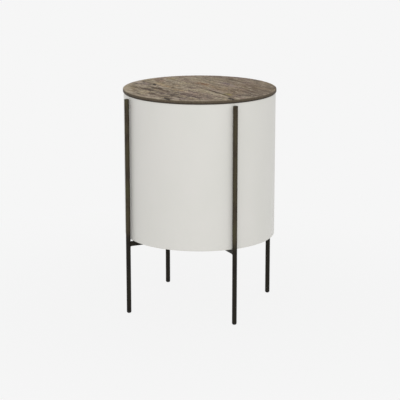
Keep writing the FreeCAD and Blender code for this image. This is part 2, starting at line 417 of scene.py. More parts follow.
def lacquer_finish():
    lacquer = Finish("satin_lacquer", {"Specular IOR Level": 0.45})
    clouds = lacquer.noise(lacquer.place, 0.11, (1, 1, 1.6), detail=3, roughness=0.5)
    peel = lacquer.noise(lacquer.place, 0.0032, detail=2, roughness=0.4, start=3.0)
    specks = lacquer.noise(lacquer.place, 0.0011, detail=2, start=7.0)
    colour = lacquer.coat(tone(226, 225, 219), tone(229, 227, 222), clouds, 0.3, 0.7)
    colour = lacquer.coat(colour, tone(205, 201, 192), specks, 0.70, 0.8, 0.25)
    height = lacquer.height()
    lower_edge = lacquer.span(height, shell_bottom + dull_edge, shell_bottom)
    upper_edge = lacquer.span(height, shell_top - dull_edge, shell_top)
    edges = lacquer.times(lacquer.plus(lower_edge, upper_edge), dull_share)
    colour = lacquer.blend(edges, colour, tone(208, 203, 193))
    roughness = lacquer.span(clouds, 0.3, 0.7, 0.36, 0.42)
    relief = lacquer.plus(peel, lacquer.times(specks, 0.2))
    return lacquer.lay(colour, roughness, relief, depth=0.00003)


def drum_shell_recipe(lacquer):
    """The section of the wall, swept round the drum's axis."""
    recipe = Recipe("drum_shell", lacquer)
    radius = recipe.ask("Outer radius", drum_radius)
    wall = recipe.ask("Wall", shell_wall)
    bottom = recipe.ask("Lower edge", shell_bottom)
    top = recipe.ask("Upper edge", shell_top)
    rounding = recipe.ask("Edge round", shell_edge_round)
    segments = recipe.ask("Segments", shell_segments)
    middle = recipe.minus(radius, recipe.times(wall, 0.5))
    bend = recipe.get("GeometryNodeCurvePrimitiveCircle", {"Resolution": segments, "Radius": middle})
    sizes = {"Width": wall, "Height": recipe.minus(top, bottom)}
    section = recipe.get("GeometryNodeCurvePrimitiveQuadrilateral", sizes)
    corners = {0: section, "Radius": rounding, "Count": shell_edge_steps}
    section = recipe.get("GeometryNodeFilletCurve", corners, mode="POLY")
    shell = recipe.get("GeometryNodeCurveToMesh", {"Curve": bend, "Profile Curve": section})
    return recipe.close(recipe.lifted(shell, recipe.times(recipe.plus(top, bottom), 0.5)))


satin_lacquer = lacquer_finish()
drum_wall = made_by(drum_shell_recipe(satin_lacquer), "drum_wall")
settle(drum_wall, "white_lacquer", "drum_shell")


# Drum top panel and lower ring: both cut from sanded plywood and glued into the shell, the panel flush with
# its upper edge and the ring above the bottom panel's seat. Neither is painted; the closed drum hides both.

veneer = 0.0018


def plywood_finish():
    ply = Finish("sanded_plywood", {"Specular IOR Level": 0.2})
    up = ply.math("ABSOLUTE", ply.parts(ply.normal())[2])
    sheet = ply.math("FRACT", ply.math("DIVIDE", ply.height(), 2 * veneer))
    grain = ply.noise(ply.place, 0.004, (1, 14, 1), detail=5, roughness=0.6)
    figure = ply.noise(ply.place, 0.03, (1, 5, 1), detail=3, twist=1.5, start=5.0)
    fibres = ply.noise(ply.place, 0.0009, (1, 9, 1), detail=2, start=8.0)
    face = ply.ramp(
        figure, (0.3, tone(178, 148, 108)), (0.5, tone(196, 166, 124)), (0.7, tone(206, 180, 140))
    )
    face = ply.coat(face, tone(158, 124, 84), grain, 0.4, 0.75, 0.5)
    edge = ply.coat(tone(190, 160, 118), tone(140, 106, 72), sheet, 0.46, 0.54)
    edge = ply.coat(edge, tone(112, 84, 56), fibres, 0.4, 0.7, 0.4)
    colour = ply.coat(edge, face, up, 0.4, 0.6)
    return ply.lay(colour, ply.span(grain, 0.3, 0.7, 0.6, 0.75), fibres, depth=0.0001)


dress(plywood_finish(), "drum_top_panel", "drum_lower_ring")


# Plank top: five tongued and grooved planks of old wood, cut to one disc with a rounded upper edge. The grain
# leans a little across them. Weather has sunk and flecked it, opened checks along it and worn the joints; the
# sawn rim is darker. A painted highlight pales the top along its left edge and on the rounded arris, and
# painted shade, with a little dirt, darkens the rim towards its foot, where it sits on the drum.

top_radius = 0.208
plank_bottom = 0.600
plank_top = 0.610
rim_round = 0.002
rim_ease = 0.0025
rim_steps = 5
rim_wall_steps = 4
plank_joints = (-0.1456, -0.09568, 0.00624, 0.104)
joint_gap = 0.0002
joint_columns = (0.0, 0.0003, 0.0007, 0.0012)
edge_columns = 9
edge_reach = 0.008
column_step = 0.0008
row_count = 140
under_rows = 8
tongue_low = 0.6035
tongue_high = 0.6065
tongue_length = 0.004
groove_clearance = 0.0001
same_point = 1e-6
sliver = 1e-7
sharp_edge = 40

grain_relief = 0.00035
pith_sway = 0.03
ring_fray = 0.0016
check_depth = 0.0016
check_steps = 6
check_sway = 0.0006
check_sway_turn = 3.1
check_sway_start = 90
check_blunt = 0.06
joint_wear = 0.0007
joint_wear_reach = (0.0005, 0.0024)
rim_wear = 0.0005
rim_wear_band = (top_radius - 0.0030, top_radius - 0.0005)
# Painted highlight along the left edge of the top: between these radii.
rim_highlight_band = (0.188, 0.199)
# Painted shade, with a little dirt, at the rim's foot: between these heights.
rim_foot_shade_and_dirt_band = (plank_bottom + 0.0055, plank_bottom + 0.002)


def quarter_turn(steps):
    """The angles round a rounded edge."""
    return [math.radians(90 * step / steps) for step in range(steps + 1)]


def rim_outline():
    """(radius, height) from the flat of the top, round its edge and down the rim to the flat underneath."""
    stops = []
    for turn in quarter_turn(rim_steps):
        radius = top_radius - rim_round * (1 - math.sin(turn))
        stops.append((radius, plank_top - rim_round * (1 - math.cos(turn))))
    low = plank_bottom + rim_ease
    for step in range(1, rim_wall_steps + 1):
        share = step / rim_wall_steps
        stops.append((top_radius, (plank_top - rim_round) * (1 - share) + low * share))
    stops.append((top_radius - rim_ease, plank_bottom))
    return stops


def loop_at(x, rim):
    """A closed loop of points at x: along the top, down the (y, z) of the rim, back underneath and up."""
    (top_y, top_z), *wall, (under_y, under_z) = rim
    loop = [(x, top_y * (2 * row / row_count - 1), top_z) for row in range(row_count + 1)]
    loop += [(x, y, z) for y, z in wall]
    loop += [(x, under_y * (1 - 2 * row / under_rows), under_z) for row in range(under_rows + 1)]
    loop += [(x, -y, z) for y, z in reversed(wall)]
    return loop


def cut_at(x):
    """The outline of the round top where it is cut across at x."""
    away = abs(x)
    flat = top_radius - rim_round
    crest = plank_top
    if away > flat:
        crest = plank_top - rim_round + math.sqrt(max(rim_round**2 - (away - flat) ** 2, 0))
    sill = plank_bottom + max(away - (top_radius - rim_ease), 0)
    rim = []
    for radius, height in rim_outline():
        y = math.sqrt(radius**2 - away**2) if radius > away else 0.0
        rim.append((y, min(max(height, sill), crest)))
    return loop_at(x, rim)


def slab_at(x, low, high):
    """The outline of a tongue or a groove at x, with as many points as the whole outline."""
    half = math.sqrt(top_radius**2 - x**2)
    last = len(rim_outline()) - 1
    return loop_at(x, [(half, high + (low - high) * step / last) for step in range(last + 1)])


def columns_between(left, right, left_joint, right_joint):
    """Where a plank is cut across: closer together along its joints and towards the end of the disc."""
    squares = [edge_reach * (step / edge_columns) ** 2 for step in range(edge_columns + 1)]
    start = [left + away for away in (joint_columns if left_joint else squares)]
    end = [right - away for away in (joint_columns if right_joint else squares)]
    steps = round((end[-1] - start[-1]) / column_step)
    between = [start[-1] + (end[-1] - start[-1]) * step / steps for step in range(1, steps)]
    return start + between + end[::-1]


def plank_mesh(name, left, right, left_joint, right_joint):
    """One closed plank, lofted across its width, with its groove on the left and its tongue on the right."""
    loops = [cut_at(x) for x in columns_between(left, right, left_joint, right_joint)]
    if left_joint:
        groove = (tongue_low - groove_clearance, tongue_high + groove_clearance)
        depths = (left + tongue_length + groove_clearance, left)
        loops = [slab_at(x, *groove) for x in depths] + loops
    if right_joint:
        loops += [slab_at(x, tongue_low, tongue_high) for x in (right, right + tongue_length)]
    plank = bmesh.new()
    rows = [[plank.verts.new(point) for point in loop] for loop in loops]
    for one, next_one in zip(rows, rows[1:]):
        for index in range(len(one)):
            plank.faces.new((one[index - 1], one[index], next_one[index], next_one[index - 1]))
    if left_joint:
        plank.faces.new(rows[0])
    if right_joint:
        plank.faces.new(rows[-1])
    bmesh.ops.remove_doubles(plank, verts=plank.verts, dist=same_point)
    bmesh.ops.dissolve_degenerate(plank, edges=plank.edges, dist=sliver)
    bmesh.ops.recalc_face_normals(plank, faces=plank.faces)
    mesh = bpy.data.meshes.new(name)
    plank.to_mesh(mesh)
    plank.free()
    mesh.shade_smooth()
    mesh.set_sharp_from_angle(angle=math.radians(sharp_edge))
    return mesh


def growth_rings(bench, grain, board):
    """Where the dark late wood of each year ring comes to the surface of a board sawn beside the pith."""
    start, pith_x, pith_depth = board["start"], board["pith_x"], board["pith_depth"]
    wander = bench.noise(grain, 0.13, (1, 2.4, 1), detail=2, start=start)
    sink = bench.noise(grain, 0.17, (1, 1.5, 1), detail=2, start=start + 5)
    fray = bench.noise(grain, 0.006, (1, 16, 1), detail=3, start=start + 9)
    sway = bench.span(wander, 0, 1, -pith_sway - pith_x, pith_sway - pith_x)
    aside = bench.plus(bench.parts(grain)[0], sway)
    under = bench.span(sink, 0.2, 0.8, pith_depth * 0.4, pith_depth * 1.6)
    ring = bench.math("SQRT", bench.plus(bench.math("POWER", aside, 2), bench.math("POWER", under, 2)))
    ring = bench.plus(ring, bench.span(fray, 0, 1, -ring_fray, ring_fray))
    year = bench.math("FRACT", bench.math("DIVIDE", ring, board["ring_pitch"]))
    return bench.times(bench.span(year, 0.25, 0.85, smooth=True), bench.span(year, 1.0, 0.93))


def set_at_points(mesh, name, values):
    """Keeps a value with each point of a mesh."""
    mesh.attributes.new(name, "FLOAT", "POINT").data.foreach_set("value", values)


def check_lines():
    """The checks and splits that dry weather opened along the grain, as lines with a width at each point."""
    opened = (
        (0.0056, (-0.0850, 0.116), (-0.0875, 0.106), (-0.0900, 0.097), (-0.0930, 0.087)),
        (0.0012, (-0.1060, 0.060), (-0.1040, 0.034), (-0.1030, 0.012), (-0.0995, -0.006)),
        (0.0014, (-0.0930, -0.012), (-0.0900, -0.034), (-0.0885, -0.052), (-0.0850, -0.066)),
        (0.0012, (-0.0780, -0.060), (-0.0765, -0.078), (-0.0730, -0.094)),
        (0.0076, (-0.1490, -0.098), (-0.1505, -0.112), (-0.1520, -0.127), (-0.1545, -0.144)),
        (0.0014, (-0.1290, -0.164), (-0.1275, -0.150), (-0.1262, -0.140)),
        (0.0010, (-0.0620, 0.010), (-0.0610, -0.016), (-0.0585, -0.036)),
        (0.0010, (-0.1270, 0.030), (-0.1262, 0.004), (-0.1240, -0.020)),
        (0.0010, (-0.1600, 0.020), (-0.1590, -0.004), (-0.1580, -0.022)),
        (0.0009, (-0.0300, 0.150), (-0.0290, 0.128), (-0.0285, 0.112)),
        (0.0009, (-0.0400, -0.120), (-0.0385, -0.142), (-0.0380, -0.158)),
        (0.0044, (0.0030, -0.020), (0.0052, -0.050), (0.0066, -0.072), (0.0100, -0.096), (0.0140, -0.124),
         (0.0165, -0.140)),
        (0.0080, (0.0018, -0.1720), (0.0003, -0.1840), (-0.0018, -0.1970), (-0.0030, -0.2070)),
        (0.0010, (0.0120, -0.150), (0.0128, -0.166), (0.0140, -0.180)),
        (0.0008, (0.0560, 0.080), (0.0568, 0.058), (0.0580, 0.044)),
        (0.0008, (0.0800, -0.060), (0.0806, -0.082), (0.0818, -0.096)),
        (0.0008, (0.1400, 0.030), (0.1404, 0.008), (0.1412, -0.006)),
    )
    points, lines, widths = [], [], []
    for width, *corners in opened:
        runs = len(corners) - 1
        last = runs * check_steps
        for step in range(last + 1):
            run = min(step // check_steps, runs - 1)
            share = step / check_steps - run
            (x0, y0), (x1, y1) = corners[run], corners[run + 1]
            sway = check_sway * math.sin(check_sway_turn * step + check_sway_start * x0)
            if step:
                lines.append((len(points) - 1, len(points)))
            points.append((x0 + (x1 - x0) * share + sway, y0 + (y1 - y0) * share, plank_top))
            widths.append(width * math.sin(math.pi * (check_blunt + (1 - 2 * check_blunt) * step / last)))
    mesh = bpy.data.meshes.new("check_lines")
    mesh.from_pydata(points, lines, [])
    set_at_points(mesh, "width", widths)
    return put_in_scene("check_lines", mesh)


def weathering_recipe(board, checks, wood):
    """Sinks the soft grain, opens the checks, wears the joints and chips the rim of one plank."""
    recipe = Recipe("plank_weathering", wood)
    relief = recipe.ask("Grain relief", grain_relief)
    depth = recipe.ask("Check depth", check_depth)
    worn = recipe.ask("Joint wear", joint_wear)
    chipped = recipe.ask("Rim wear", rim_wear)
    opened = recipe.ask("Checks", checks)
    start = board["start"]
    place = recipe.get("GeometryNodeInputPosition")
    normal = recipe.get("GeometryNodeInputNormal")
    sides = recipe.parts(place)
    across, height = sides[0], sides[2]
    on_top = recipe.span(height, plank_top - rim_round, plank_top - rim_round / 2)
    on_top = recipe.times(recipe.span(recipe.parts(normal)[2], 0.3, 0.9), on_top)

    grain = recipe.turned(place, -board["lean"])
    rings = growth_rings(recipe, grain, board)
    rough = recipe.noise(grain, 0.004, (1, 9, 1), detail=4, roughness=0.6, start=start + 2)
    sunk = recipe.plus(recipe.times(rings, -0.6), recipe.span(rough, 0.3, 0.7, 0.6, 1.4))
    sunk = recipe.times(recipe.math("MAXIMUM", sunk, 0.0), recipe.times(relief, 0.7))

    lines = recipe.add("GeometryNodeObjectInfo", {"Object": opened}).outputs["Geometry"]
    here = {"Geometry": lines, "Sample Position": place}
    distance = recipe.add("GeometryNodeProximity", here, target_element="EDGES").outputs["Distance"]
    nearest = recipe.get("GeometryNodeSampleNearest", here)
    width = recipe.get("GeometryNodeInputNamedAttribute", {"Name": "width"})
    width = recipe.get("GeometryNodeSampleIndex", {"Geometry": lines, "Value": width, "Index": nearest})
    opening = recipe.math("MAXIMUM", recipe.minus(1.0, recipe.math("DIVIDE", distance, width)), 0.0)
    opening_seen = recipe.times(opening, on_top)

    aside = 1.0
    for joint in plank_joints:
        aside = recipe.math("MINIMUM", aside, recipe.math("ABSOLUTE", recipe.minus(across, joint)))
    nibble = recipe.noise(place, 0.011, (1, 2.5, 1), detail=4, roughness=0.65, start=start + 4)
    reach = recipe.span(nibble, 0.35, 0.75, *joint_wear_reach)
    edge = recipe.math("MAXIMUM", recipe.minus(1.0, recipe.math("DIVIDE", aside, reach)), 0.0)
    edge_seen = recipe.times(edge, on_top)

    drop = recipe.plus(sunk, recipe.times(opening, depth))
    drop = recipe.plus(drop, recipe.times(edge, worn))
    down = recipe.upright(recipe.times(recipe.times(drop, on_top), -1.0))
    outward = recipe.flat(normal)
    on_rim = recipe.span(recipe.measure("LENGTH", recipe.flat(place)), *rim_wear_band)
    on_rim = recipe.times(recipe.measure("LENGTH", outward), on_rim)
    chips = recipe.noise(place, 0.005, (1, 1, 1.5), detail=4, roughness=0.65, start=start + 7)
    bite = recipe.times(recipe.span(chips, 0.4, 0.8), recipe.times(chipped, on_rim))
    back = {0: outward, "Scale": recipe.times(bite, -1.0)}
    inward = recipe.get("ShaderNodeVectorMath", back, operation="SCALE")

    plank = recipe.start.outputs[0]
    for name, value in (("opened", opening_seen), ("worn_edge", edge_seen)):
        plank = recipe.get("GeometryNodeStoreNamedAttribute", {0: plank, "Name": name, "Value": value})
    moved = recipe.vector("ADD", down, inward)
    return recipe.close(recipe.get("GeometryNodeSetPosition", {0: plank, "Offset": moved}))


def spot_distance(wood, spot, half_sizes, lean=0):
    """How far a point lies from a spot on the wood, where 1 is the edge of an oval along the grain."""
    offset = wood.turned(wood.vector("SUBTRACT", wood.place, (*spot, 0)), -lean)
    half_width, half_length = half_sizes
    return wood.measure("LENGTH", wood.vector("MULTIPLY", offset, (1 / half_width, 1 / half_length, 0)))


def wood_finish(name, board):
    """Old wood, grey-brown and stained in patches, dark in late wood, pores, checks and rim; painted
    highlight and shade at its edge.
    """
    wood = Finish(name, {"Specular IOR Level": 0.14})
    start, lean = board["start"], board["lean"]
    grain = wood.turned(wood.place, -lean)
    rings = growth_rings(wood, grain, board)
    streaks = wood.noise(grain, 0.012, (1, 6, 1), detail=5, roughness=0.65, start=start + 1)
    fibres = wood.noise(grain, 0.0012, (1, 20, 1), detail=3, start=start + 3)
    pores = wood.noise(grain, 0.0009, (1, 11, 1), detail=2, start=start + 6)
    clouds = wood.noise(grain, 0.055, (1, 1.7, 1), detail=4, roughness=0.6, start=start + 8)
    grime = wood.noise(grain, 0.021, (1, 2.6, 1), detail=6, roughness=0.7, start=start + 11)
    flecks = wood.noise(grain, 0.0070, (1, 2.6, 1), detail=3, roughness=0.6, start=start + 15)
    specks = wood.noise(grain, 0.0032, (1, 2.2, 1), detail=1, roughness=0.5, start=start + 17)

    colour = wood.coat(pale_wood, rosy_wood, clouds, 0.50, 0.66, 0.7)
    colour = wood.coat(colour, green_wood, clouds, 0.48, 0.32, 0.7)
    ragged = wood.plus(wood.span(grime, 0.2, 0.8, -0.5, 0.5), wood.span(streaks, 0.3, 0.7, -0.35, 0.35))
    for spot, half_sizes, stain, strength in board["stains"]:
        from_stain = wood.plus(spot_distance(wood, spot, half_sizes, lean), ragged)
        colour = wood.coat(colour, stain, from_stain, 1.15, 0.5, strength)

    shade = wood.ramp(streaks, (0.36, dark_shade), (0.48, mid_shade), (0.62, no_shade))
    colour = wood.blend(1.0, colour, wood.blend(board["calm"], shade, mid_shade), way="MULTIPLY")
    colour = wood.blend(1.0, colour, wood.span(specks, 0.30, 0.70, *board["specked"]), way="MULTIPLY")
    colour = wood.blend(wood.times(rings, 0.35), colour, dark_wood)
    colour = wood.coat(colour, dry_fleck, flecks, 0.44, 0.32, 0.85)
    colour = wood.coat(colour, dark_fibre, fibres, 0.35, 0.75, 0.30)
    colour = wood.coat(colour, dark_pore, pores, 0.60, 0.72, 0.50)
    colour = wood.coat(colour, ground_in_dirt, grime, board["dirt_from"], board["dirt_from"] + 0.14, 0.75)
    colour = wood.coat(colour, dark_pit, flecks, board["pits_from"], board["pits_from"] + 0.06, 0.85)
    colour = wood.blend(board["wash"], colour, umber)

    for spot, half_sizes, strength in board["scrubbed"]:
        colour = wood.coat(colour, bleached_wood_and_highlight, spot_distance(wood, spot, half_sizes), 1.1, 0.6, strength)
    sides = wood.parts(wood.place)
    across, height = sides[0], sides[2]
    # Painted highlight: the top is paler in a ragged band along the rim on its left side.
    rim_highlight = wood.span(wood.measure("LENGTH", wood.flat(wood.place)), *rim_highlight_band)
    rim_highlight = wood.times(rim_highlight, wood.span(across, 0.0, -0.15, 0.05, 0.9))
    rim_highlight = wood.times(rim_highlight, wood.span(grime, 0.62, 0.42, 0.35, 1.0))
    colour = wood.blend(wood.times(rim_highlight, 0.7), colour, bleached_wood_and_highlight)
    worn = wood.add("ShaderNodeAttribute", attribute_name="worn_edge").outputs["Fac"]
    opened = wood.add("ShaderNodeAttribute", attribute_name="opened").outputs["Fac"]
    colour = wood.coat(colour, worn_edge, worn, 0.0, 0.5, 0.35)
    colour = wood.coat(colour, dark_joint, worn, 0.55, 0.9, 0.85)
    colour = wood.coat(colour, dark_check, opened, 0.05, 0.40, 0.95)

    facing = wood.parts(wood.normal())[2]
    saw = wood.noise(wood.place, 0.0016, (1, 1, 7), detail=4, roughness=0.6, start=start + 13)
    rim_colour = wood.coat(dark_rim, pale_rim, saw, 0.3, 0.7)
    # Painted shade, with a little dirt: the rim darkens towards its foot, where it sits on the drum.
    rim_colour = wood.coat(rim_colour, rim_foot_shade_and_dirt, height, *rim_foot_shade_and_dirt_band, 0.8)
    on_rim = wood.span(facing, 0.97, 0.75)
    colour = wood.blend(on_rim, colour, rim_colour)
    # Painted highlight: a paler line on the rounded edge, where the top turns down into the rim.
    arris_highlight_share = wood.times(wood.span(facing, 0.2, 0.5), on_rim)
    colour = wood.blend(wood.times(arris_highlight_share, 0.2), colour, arris_highlight)
    roughness = wood.span(streaks, 0.3, 0.7, 0.72, 0.56)
    relief = wood.plus(fibres, wood.times(rings, 0.4))
    relief = wood.minus(relief, wood.span(pores, 0.55, 0.72, 0.0, 1.2))
    return wood.lay(colour, roughness, relief, depth=0.00018)


pale_wood = tone(190, 174, 147)
rosy_wood = tone(176, 151, 139)
green_wood = tone(192, 176, 133)
dark_wood = tone(90, 75, 60)
# Paler wood: real bleaching for the scrubbed spots, and a painted highlight along the left edge.
bleached_wood_and_highlight = tone(188, 174, 150)
dark_shade = (0.245, 0.205, 0.175, 1.0)
mid_shade = (0.680, 0.655, 0.650, 1.0)
no_shade = (1.0, 1.0, 1.0, 1.0)
dry_fleck = tone(200, 187, 165)
dark_fibre = tone(86, 71, 55)
dark_pore = tone(60, 48, 37)
dark_pit = tone(58, 45, 34)
ground_in_dirt = tone(78, 62, 47)
worn_edge = tone(172, 156, 130)
dark_joint = tone(48, 41, 36)
dark_check = tone(40, 27, 17)
dark_rim = tone(74, 65, 54)
pale_rim = tone(106, 95, 80)
# Painted shade, with a little dirt, for the rim's foot.
rim_foot_shade_and_dirt = tone(46, 40, 33)
# Painted highlight for the rounded arris.
arris_highlight = tone(168, 153, 130)
rust = tone(188, 146, 104)
russet = tone(164, 120, 102)
plum = tone(150, 128, 132)
maroon = tone(92, 68, 62)
umber = tone(80, 61, 47)
soot = tone(54, 40, 29)
straw = tone(204, 176, 132)
chalk = tone(214, 200, 172)
lilac = tone(196, 178, 174)
chestnut = tone(98, 70, 44)
moss = tone(176, 160, 84)
slate = tone(112, 100, 93)

# Each board has its own figure, and its own stains and scrubbed spots, given by place and half their size.
boards = (
    dict(
        start=2.0, lean=12, pith_x=-0.17, pith_depth=0.03, ring_pitch=0.0060,
        dirt_from=0.54, pits_from=0.58, wash=0.0, calm=0.0, specked=(0.45, 1.55),
        stains=(
            ((-0.178, 0.072), (0.016, 0.050), straw, 0.7),
            ((-0.160, 0.006), (0.012, 0.026), straw, 0.7),
            ((-0.155, 0.079), (0.008, 0.018), umber, 0.45),
            ((-0.157, -0.028), (0.007, 0.014), maroon, 0.7),
            ((-0.154, -0.082), (0.009, 0.018), umber, 0.2),
            ((-0.174, 0.036), (0.005, 0.012), umber, 0.6),
            ((-0.152, -0.124), (0.007, 0.024), soot, 0.95),
        ),
        scrubbed=(
            ((-0.180, 0.080), (0.012, 0.040), 0.5),
            ((-0.161, 0.004), (0.009, 0.022), 0.5),
        ),
    ),
    dict(
        start=21.0, lean=14, pith_x=-0.13, pith_depth=0.02, ring_pitch=0.0052,
        dirt_from=0.52, pits_from=0.56, wash=0.0, calm=0.0, specked=(0.45, 1.55),
        stains=(
            ((-0.108, 0.135), (0.020, 0.040), lilac, 0.8),
            ((-0.120, -0.004), (0.026, 0.095), chestnut, 0.35),
            ((-0.138, 0.036), (0.010, 0.036), maroon, 0.85),
            ((-0.110, 0.040), (0.010, 0.030), chestnut, 0.9),
            ((-0.101, -0.014), (0.009, 0.034), chestnut, 0.9),
            ((-0.132, -0.028), (0.010, 0.024), maroon, 0.75),
            ((-0.112, -0.072), (0.020, 0.026), slate, 0.6),
            ((-0.130, 0.150), (0.007, 0.022), soot, 0.85),
            ((-0.122, -0.130), (0.020, 0.030), plum, 0.5),
            ((-0.108, 0.150), (0.012, 0.026), plum, 0.35),
            ((-0.102, 0.128), (0.012, 0.026), chalk, 0.4),
        ),
        scrubbed=(
            ((-0.127, -0.123), (0.008, 0.022), 0.5),
            ((-0.111, 0.152), (0.008, 0.026), 0.4),
        ),
    ),
    dict(
        start=43.0, lean=9, pith_x=-0.06, pith_depth=0.03, ring_pitch=0.0066,
        dirt_from=0.58, pits_from=0.60, wash=0.0, calm=0.1, specked=(0.45, 1.55),
        stains=(
            ((-0.062, -0.095), (0.036, 0.075), rosy_wood, 0.6),
            ((-0.045, 0.070), (0.035, 0.040), chalk, 0.6),
            ((-0.015, 0.145), (0.035, 0.045), chalk, 0.6),
            ((-0.084, -0.076), (0.013, 0.036), maroon, 0.85),
            ((-0.080, -0.110), (0.016, 0.030), maroon, 0.95),
            ((-0.087, -0.004), (0.009, 0.024), umber, 0.6),
            ((-0.068, -0.012), (0.012, 0.030), straw, 0.5),
            ((-0.045, 0.062), (0.012, 0.024), straw, 0.5),
            ((-0.073, 0.113), (0.012, 0.024), straw, 0.6),
            ((-0.076, 0.085), (0.016, 0.034), straw, 0.5),
            ((-0.047, 0.148), (0.014, 0.034), russet, 0.45),
            ((-0.078, 0.138), (0.014, 0.030), chalk, 0.5),
            ((-0.047, -0.112), (0.012, 0.024), chalk, 0.4),
            ((-0.070, 0.048), (0.012, 0.024), straw, 0.6),
            ((-0.038, 0.106), (0.007, 0.020), umber, 0.5),
            ((-0.006, 0.166), (0.014, 0.026), moss, 0.4),
            ((-0.001, -0.194), (0.008, 0.018), soot, 0.95),
            ((-0.089, 0.101), (0.006, 0.016), soot, 0.85),
            ((-0.045, -0.165), (0.036, 0.045), umber, 0.3),
        ),
        scrubbed=(
            ((-0.0045, -0.072), (0.0055, 0.060), 0.5),
            ((0.001, -0.142), (0.0055, 0.024), 0.75),
        ),
    ),
    dict(
        start=64.0, lean=6, pith_x=0.07, pith_depth=0.05, ring_pitch=0.0070,
        dirt_from=0.62, pits_from=0.66, wash=0.08, calm=0.35, specked=(0.55, 1.45),
        stains=(
            ((0.060, 0.110), (0.045, 0.060), chalk, 0.35),
            ((0.060, -0.080), (0.045, 0.080), straw, 0.5),
            ((0.036, 0.051), (0.015, 0.036), rust, 0.9),
            ((0.098, 0.026), (0.015, 0.040), plum, 0.7),
            ((0.034, 0.006), (0.017, 0.026), straw, 0.5),
            ((0.021, -0.131), (0.011, 0.024), moss, 0.95),
            ((0.080, 0.125), (0.018, 0.030), slate, 0.3),
            ((0.064, -0.166), (0.032, 0.042), umber, 0.55),
            ((0.095, -0.120), (0.060, 0.110), umber, 0.35),
            ((0.092, -0.142), (0.034, 0.046), umber, 0.35),
        ),
        scrubbed=(
            ((0.017, -0.192), (0.006, 0.016), 0.8),
        ),
    ),
    dict(
        start=87.0, lean=6, pith_x=0.15, pith_depth=0.05, ring_pitch=0.0064,
        dirt_from=0.64, pits_from=0.68, wash=0.20, calm=0.40, specked=(0.65, 1.35),
        stains=(
            ((0.130, -0.060), (0.040, 0.080), straw, 0.4),
            ((0.135, 0.076), (0.014, 0.036), umber, 0.5),
            ((0.113, 0.155), (0.008, 0.018), maroon, 0.75),
            ((0.167, 0.108), (0.009, 0.018), plum, 0.6),
            ((0.192, 0.045), (0.008, 0.022), slate, 0.6),
            ((0.150, -0.090), (0.060, 0.110), umber, 0.28),
            ((0.184, -0.086), (0.014, 0.045), umber, 0.5),
            ((0.122, -0.128), (0.030, 0.050), umber, 0.45),
        ),
        scrubbed=(),
    ),
)
checks = check_lines()
plank_edges = (-top_radius, *plank_joints, top_radius)
for number, board in enumerate(boards, start=1):
    left_joint, right_joint = number > 1, number < len(boards)
    left = plank_edges[number - 1] + (joint_gap / 2 if left_joint else 0)
    right = plank_edges[number] - (joint_gap / 2 if right_joint else 0)
    name = f"weathered_plank_{number}"
    wood = wood_finish(f"old_wood_{number}", board)
    blank = plank_mesh(name + "_sawn", left, right, left_joint, right_joint)
    plank = made_by(weathering_recipe(board, checks, wood), name, blank)
    settle(plank, "weathered_wood", f"top_plank_{number}")
bpy.data.objects.remove(checks)


# Top screws: countersunk wood screws of zinc plated steel with a cross recess. They go up through the top
# panel from inside the drum, two into each plank.

screw_head_radius = 0.004
screw_head_height = 0.0024
screw_head_ease = 0.0002
screw_core_radius = 0.0014
screw_point = 0.003
screw_tip_radius = 0.0001
screw_pitch = 0.0018
thread_height = 0.0005
thread_steps = 14
thread_sides = 3
recess_length = 0.0046
recess_width = 0.0011
recess_depth = 0.0014
turning_sides = 28
driven_seed = 4
top_panel_bottom = 0.582
top_screw_length = 0.0245
top_screw_reach = 0.1799
top_screw_spread_share = 0.7


def zinc_finish():
    zinc = Finish("zinc_plate", {"Metallic": 1.0})
    bloom = zinc.noise(zinc.place, 0.0022, detail=4, roughness=0.6)
    scratches = zinc.noise(zinc.place, 0.0003, (1, 6, 6), detail=2, start=2.0)
    colour = zinc.ramp(
        bloom, (0.3, tone(168, 170, 170)), (0.55, tone(196, 197, 195)), (0.75, tone(204, 200, 186))
    )
    colour = zinc.coat(colour, tone(140, 140, 138), scratches, 0.6, 0.75, 0.5)
    return zinc.lay(colour, zinc.span(bloom, 0.3, 0.7, 0.28, 0.46), scratches, depth=0.00002)


def turned_line(name, stops):
    """A line up an axis, with a radius at each (height, radius) stop, for turning a fastener."""
    mesh = line_mesh(name, [(0, 0, height) for height, _ in stops])
    set_at_points(mesh, "radius", [radius for _, radius in stops])
    return put_in_scene(name, mesh)


def marks(name, places):
    """Loose points, one where each fastener goes."""
    mesh = bpy.data.meshes.new(name)
    mesh.from_pydata(places, [], [])
    return mesh


def cross_recess(recipe):
    """Two crossed slots, open below, for a screwdriver."""
    sizes = {
        "X": recipe.ask("Recess length", recess_length),
        "Y": recipe.ask("Recess width", recess_width),
        "Z": recipe.times(recipe.ask("Recess depth", recess_depth), 2.0),
    }
    slot = recipe.get("GeometryNodeMeshCube", {"Size": recipe.get("ShaderNodeCombineXYZ", sizes)})
    return slot, recipe.get("GeometryNodeTransform", {"Geometry": slot, "Rotation": (0, 0, math.pi / 2)})


